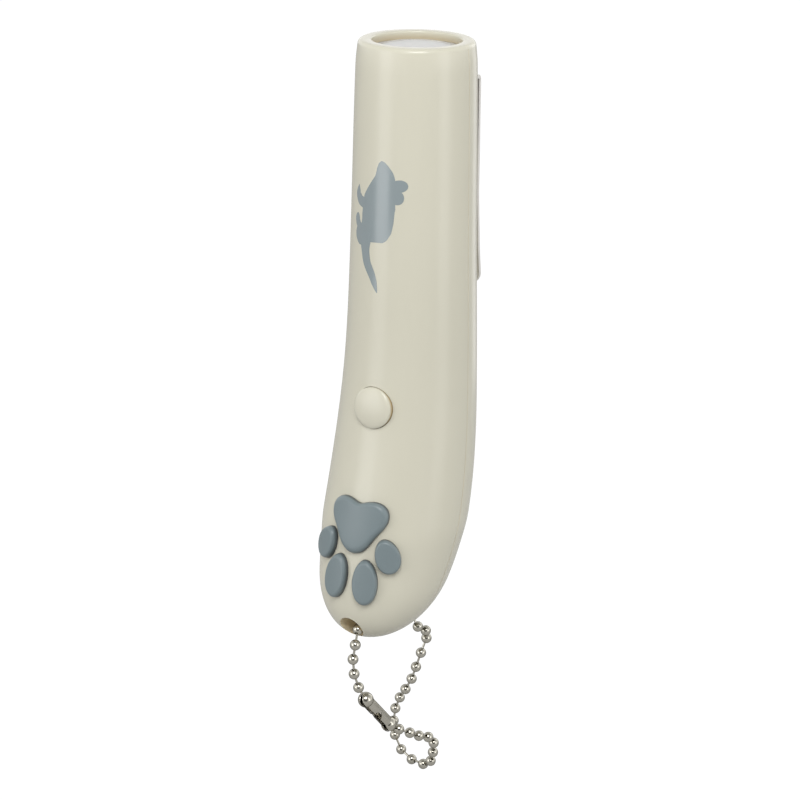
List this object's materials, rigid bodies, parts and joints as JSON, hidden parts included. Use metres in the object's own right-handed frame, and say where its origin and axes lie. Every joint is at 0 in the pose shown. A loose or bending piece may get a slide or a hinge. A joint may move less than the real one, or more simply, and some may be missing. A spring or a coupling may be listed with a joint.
{
  "type": "cat laser pointer",
  "caption": "Hand-held laser pointer toy for cats: a smooth tube that swells into a paw with grey pads, one push button, a steel pocket clip and a ball chain through the tail.",
  "frame": {"origin": "the point where the bump of the pocket clip meets the back of the body", "axes": "+Z runs along the tube from the tail to the mouth, -Y is the side with the button and the paw pads, +Y is the side with the clip, +X is to the right when the button side is looked at"},
  "size_m": [0.0322, 0.0448, 0.1722],
  "materials": {
    "ivory_plastic": "glossy moulded ivory plastic",
    "grey_pad": "satin blue-grey soft pads",
    "clear_window": "clear moulded plastic",
    "white_plastic": "plain white moulded plastic",
    "barrel_brass": "turned brass",
    "screw_steel": "zinc-plated steel",
    "diode_metal": "tin-plated metal",
    "board_green": "green solder mask",
    "lead_insulation": "soft wire insulation",
    "cell_wrap": "shrink wrap",
    "black_plastic": "moulded black plastic",
    "clip_steel": "sprung steel strip",
    "chain_nickel": "nickel-plated chain"
  },
  "bodies": {
    "housing": {"front_shell": "ivory_plastic", "back_shell": "ivory_plastic", "shell_screw": "screw_steel", "front_window": "clear_window", "laser_holder": "white_plastic", "laser_barrel": "barrel_brass", "collimator_lens": "clear_window", "lens_spring": "screw_steel", "laser_diode": "diode_metal", "driver_board": "board_green", "laser_leads": "lead_insulation", "battery_cell": "cell_wrap", "battery_tabs": "diode_metal", "battery_leads": "lead_insulation", "main_board": "board_green", "board_parts": "black_plastic", "switch_body": "black_plastic", "socket_shell": "diode_metal", "socket_tongue": "black_plastic", "clip_root": "clip_steel", "clip_screws": "screw_steel", "paw_pad": "grey_pad", "toe_outer_left": "grey_pad", "toe_inner_left": "grey_pad", "toe_inner_right": "grey_pad", "toe_outer_right": "grey_pad"},
    "button": {"button_cap": "ivory_plastic", "switch_plunger": "white_plastic"},
    "clip": {"clip_arm": "clip_steel"},
    "chain": {"chain_balls": "chain_nickel", "chain_links": "chain_nickel", "chain_connector": "chain_nickel"}
  },
  "joints": [
    {"name": "button_press", "type": "slide", "parent": "housing", "child": "button", "axis": [0, 0.9895, -0.1442], "range_m": [0, 0.0006], "stiffness_N_per_m": 1500},
    {"name": "clip_flex", "type": "hinge", "parent": "housing", "child": "clip", "pos_m": [0, 0.00194, 0.0368], "axis": [1, 0, 0], "range_deg": [0, 6], "stiffness_Nm_per_rad": 1.5},
    {"name": "chain_swing", "type": "hinge", "parent": "housing", "child": "chain", "pos_m": [0, -0.02783, -0.0785], "axis": [0, 1, 0], "range_deg": [-35, 35]}
  ]
}
